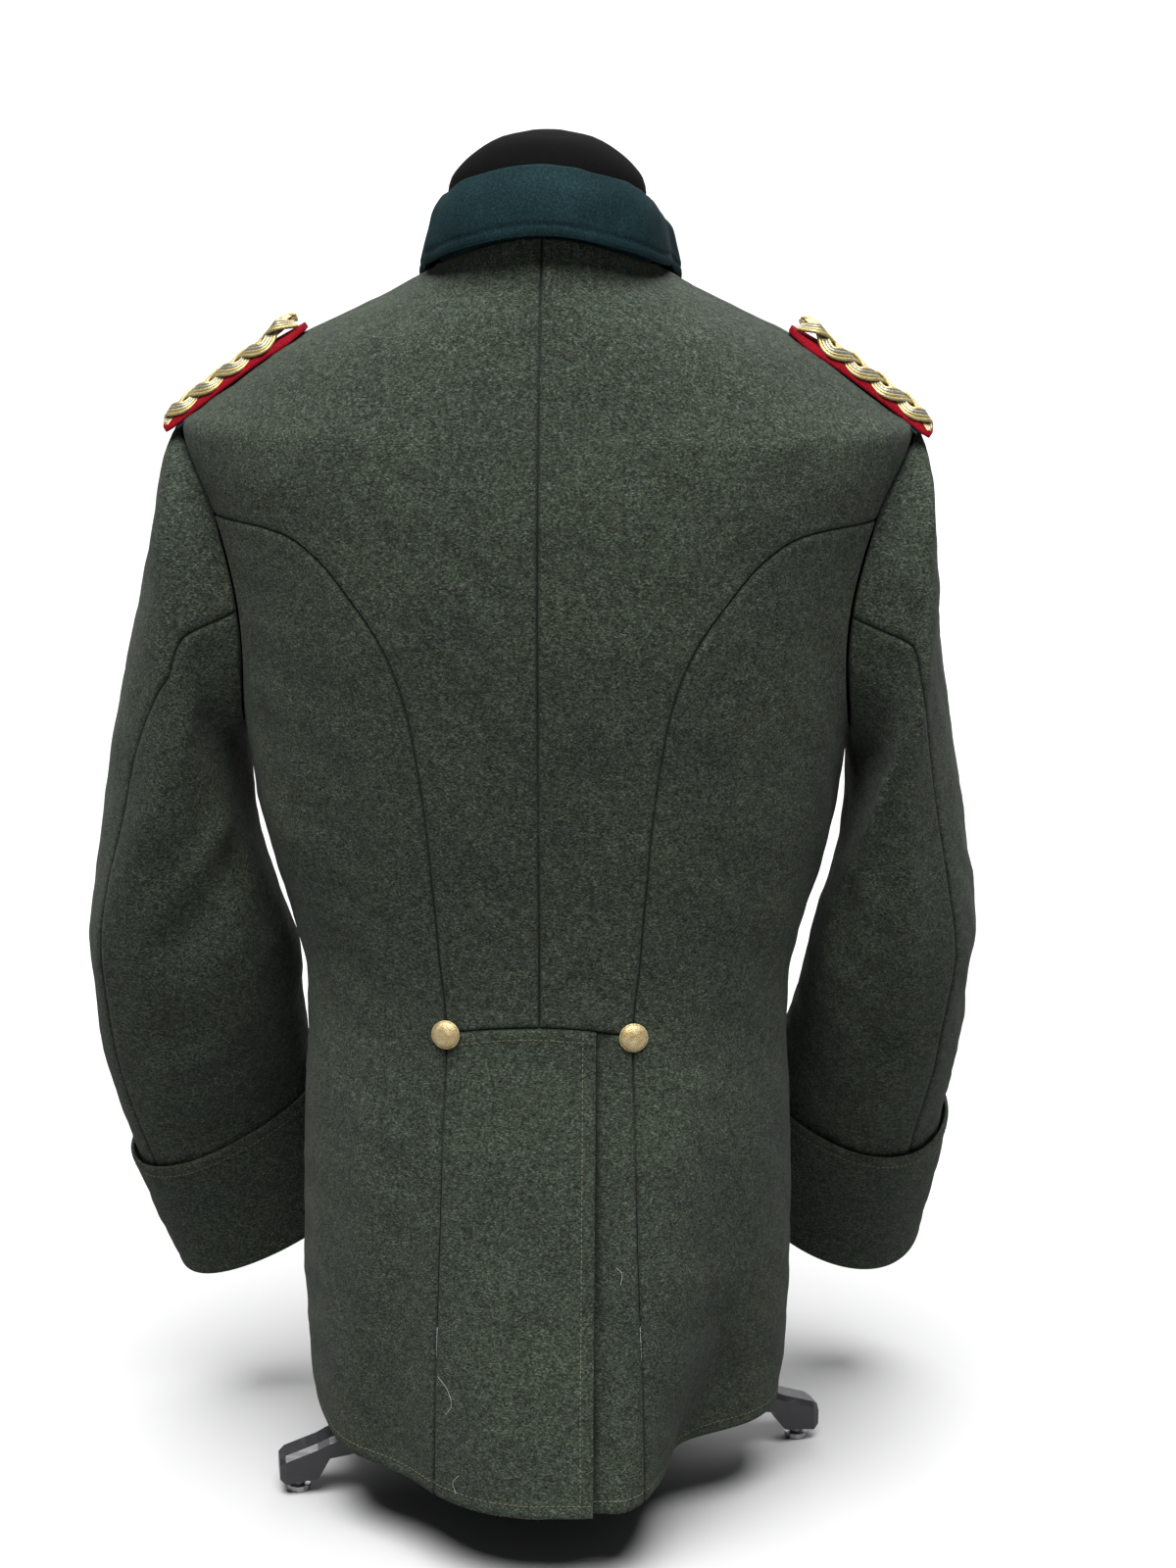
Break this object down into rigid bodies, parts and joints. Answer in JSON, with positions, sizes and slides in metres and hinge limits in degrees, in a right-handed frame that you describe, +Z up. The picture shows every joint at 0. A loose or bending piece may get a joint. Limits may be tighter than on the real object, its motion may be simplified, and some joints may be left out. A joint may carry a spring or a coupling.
{
  "type": "military field tunic on a limbless dress form with a four-armed stand",
  "caption": "Hip-length wool tunic with back vent, curved back seams, turned cuffs and braided shoulder boards, on a dress form on a low stand.",
  "frame": {"origin": "middle of the bounding box's underside, on the floor", "axes": "+Z up, +Y the way the tunic's front faces, +X towards the wearer's right sleeve"},
  "size_m": [0.5932, 0.367, 0.9145],
  "materials": {
    "wool": "heavy felted grey-green wool with lighter fibres, matt",
    "collar_felt": "dark blue-green felt, matt",
    "red_cloth": "red badge cloth, matt",
    "gold_cord": "plaited pale gold cord with a soft metallic sheen",
    "gilt": "matt gilt, pebbled",
    "velvet": "black velvety cloth",
    "leg_black": "black, half gloss",
    "foot_steel": "grey steel screw"
  },
  "bodies": {
    "root": {"back_left": "wool", "back_right": "wool", "base_hub": "leg_black", "board_button_left": "gilt", "board_button_right": "gilt", "board_left": "red_cloth", "board_loop_left": "collar_felt", "board_loop_right": "collar_felt", "board_right": "red_cloth", "braid_left": "gold_cord", "braid_right": "gold_cord", "collar": "collar_felt", "cuff_left": "wool", "cuff_right": "wool", "foot_front": "foot_steel", "foot_left": "foot_steel", "foot_rear": "foot_steel", "foot_right": "foot_steel", "form_torso": "velvet", "front_button_1": "gilt", "front_button_2": "gilt", "front_button_3": "gilt", "front_button_4": "gilt", "front_button_5": "gilt", "front_button_6": "gilt", "front_left": "wool", "front_right": "wool", "leg_front": "leg_black", "leg_left": "leg_black", "leg_rear": "leg_black", "leg_right": "leg_black", "pole": "leg_black", "side_left": "wool", "side_right": "wool", "skirt_left": "wool", "skirt_right": "wool", "sleeve_top_left": "wool", "sleeve_top_right": "wool", "sleeve_under_left": "wool", "sleeve_under_right": "wool", "waist_button_left": "gilt", "waist_button_right": "gilt"}
  },
  "joints": []
}
